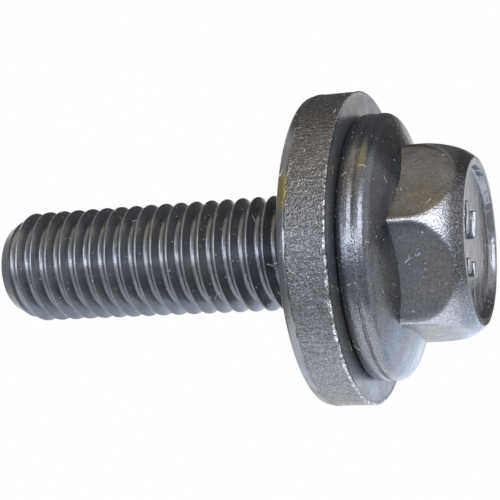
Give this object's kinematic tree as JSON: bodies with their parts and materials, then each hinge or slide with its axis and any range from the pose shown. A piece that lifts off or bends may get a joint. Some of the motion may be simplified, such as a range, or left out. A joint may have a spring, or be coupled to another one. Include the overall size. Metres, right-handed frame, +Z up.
{
  "type": "hexagon flange bolt with captive washer",
  "caption": "Black steel hexagon flange bolt with a coarse metric thread and a thick plain washer held captive under its flange, for clamping a pulley or hub.",
  "frame": {"origin": "centre of the head's flat top face, on which the bolt stands", "axes": "+Z up the shank to the thread's tip, +X through a corner of the hexagon"},
  "size_m": [0.0316, 0.0316, 0.0514],
  "materials": {
    "bolt_finish": "oiled black oxide on forged and rolled steel",
    "washer_finish": "black oxide on blanked steel, with a grainy rim"
  },
  "bodies": {
    "bolt": {"bolt": "bolt_finish"},
    "washer": {"washer": "washer_finish"}
  },
  "joints": [
    {"name": "washer_spin", "type": "hinge", "parent": "bolt", "child": "washer", "pos_m": [0, 0, 0.0134], "axis": [0, 0, 1], "continuous": true}
  ]
}
